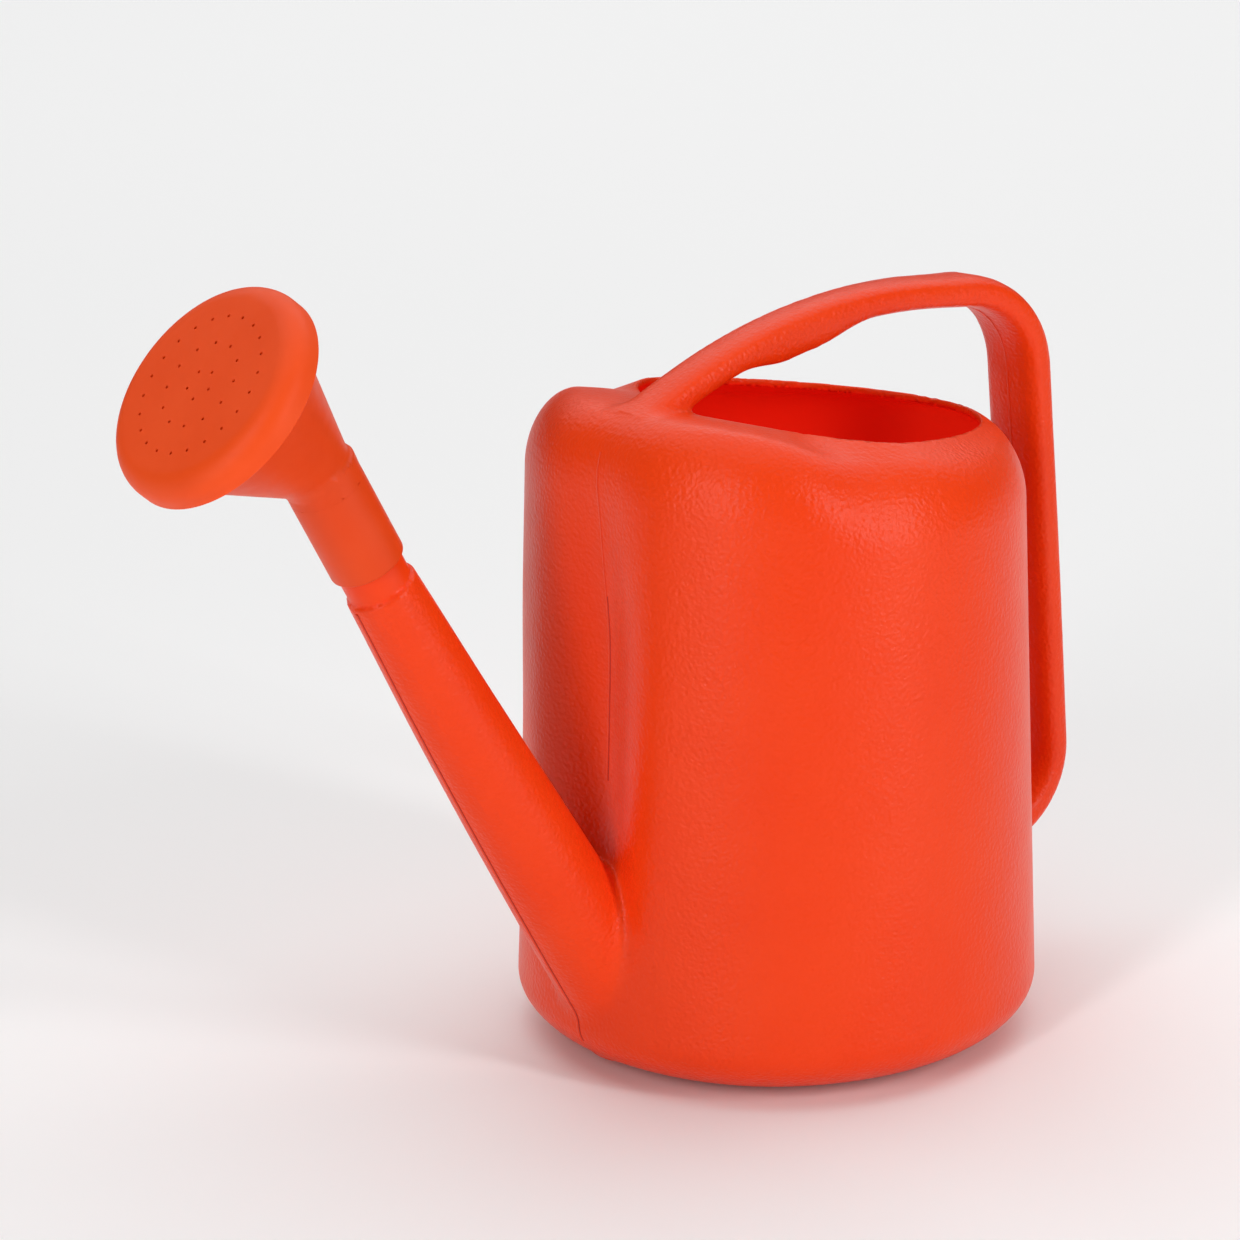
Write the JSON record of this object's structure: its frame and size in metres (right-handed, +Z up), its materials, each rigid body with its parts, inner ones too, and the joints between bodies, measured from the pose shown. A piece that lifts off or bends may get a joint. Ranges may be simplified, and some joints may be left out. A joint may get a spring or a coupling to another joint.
{
  "type": "watering can",
  "caption": "Plastic garden watering can with a round open-topped tank, an arched back handle, a long front spout and a removable, turning sprinkler rose.",
  "frame": {"origin": "centre of the resting face on the ground", "axes": "+Z up, spout towards -X, handle towards +X, symmetric about Y = 0"},
  "size_m": [0.4055, 0.1886, 0.3022],
  "materials": {
    "can": "red-orange moulded polyethylene with a fine pebbled grain, satin",
    "rose": "smooth orange moulded plastic, satin",
    "rose_face": "smooth orange moulded plastic, dull satin"
  },
  "bodies": {
    "can": {"tank_base": "can", "tank_wall": "can", "tank_shoulder": "can", "spout": "can", "spout_neck": "can", "handle_grip": "can", "handle_post": "can"},
    "socket": {"rose_socket": "rose"},
    "rose": {"rose_bell": "rose"},
    "face": {"rose_cap": "rose_face"}
  },
  "joints": [
    {"name": "rose_pull", "type": "slide", "parent": "can", "child": "socket", "axis": [-0.4818, 0, 0.8763], "range_m": [0, 0.045]},
    {"name": "rose_turn", "type": "hinge", "parent": "socket", "child": "rose", "pos_m": [-0.1756, 0, 0.1972], "axis": [-0.4818, 0, 0.8763], "continuous": true},
    {"name": "cap_pull", "type": "slide", "parent": "rose", "child": "face", "axis": [-0.7649, 0, 0.6441], "range_m": [0, 0.02]}
  ]
}
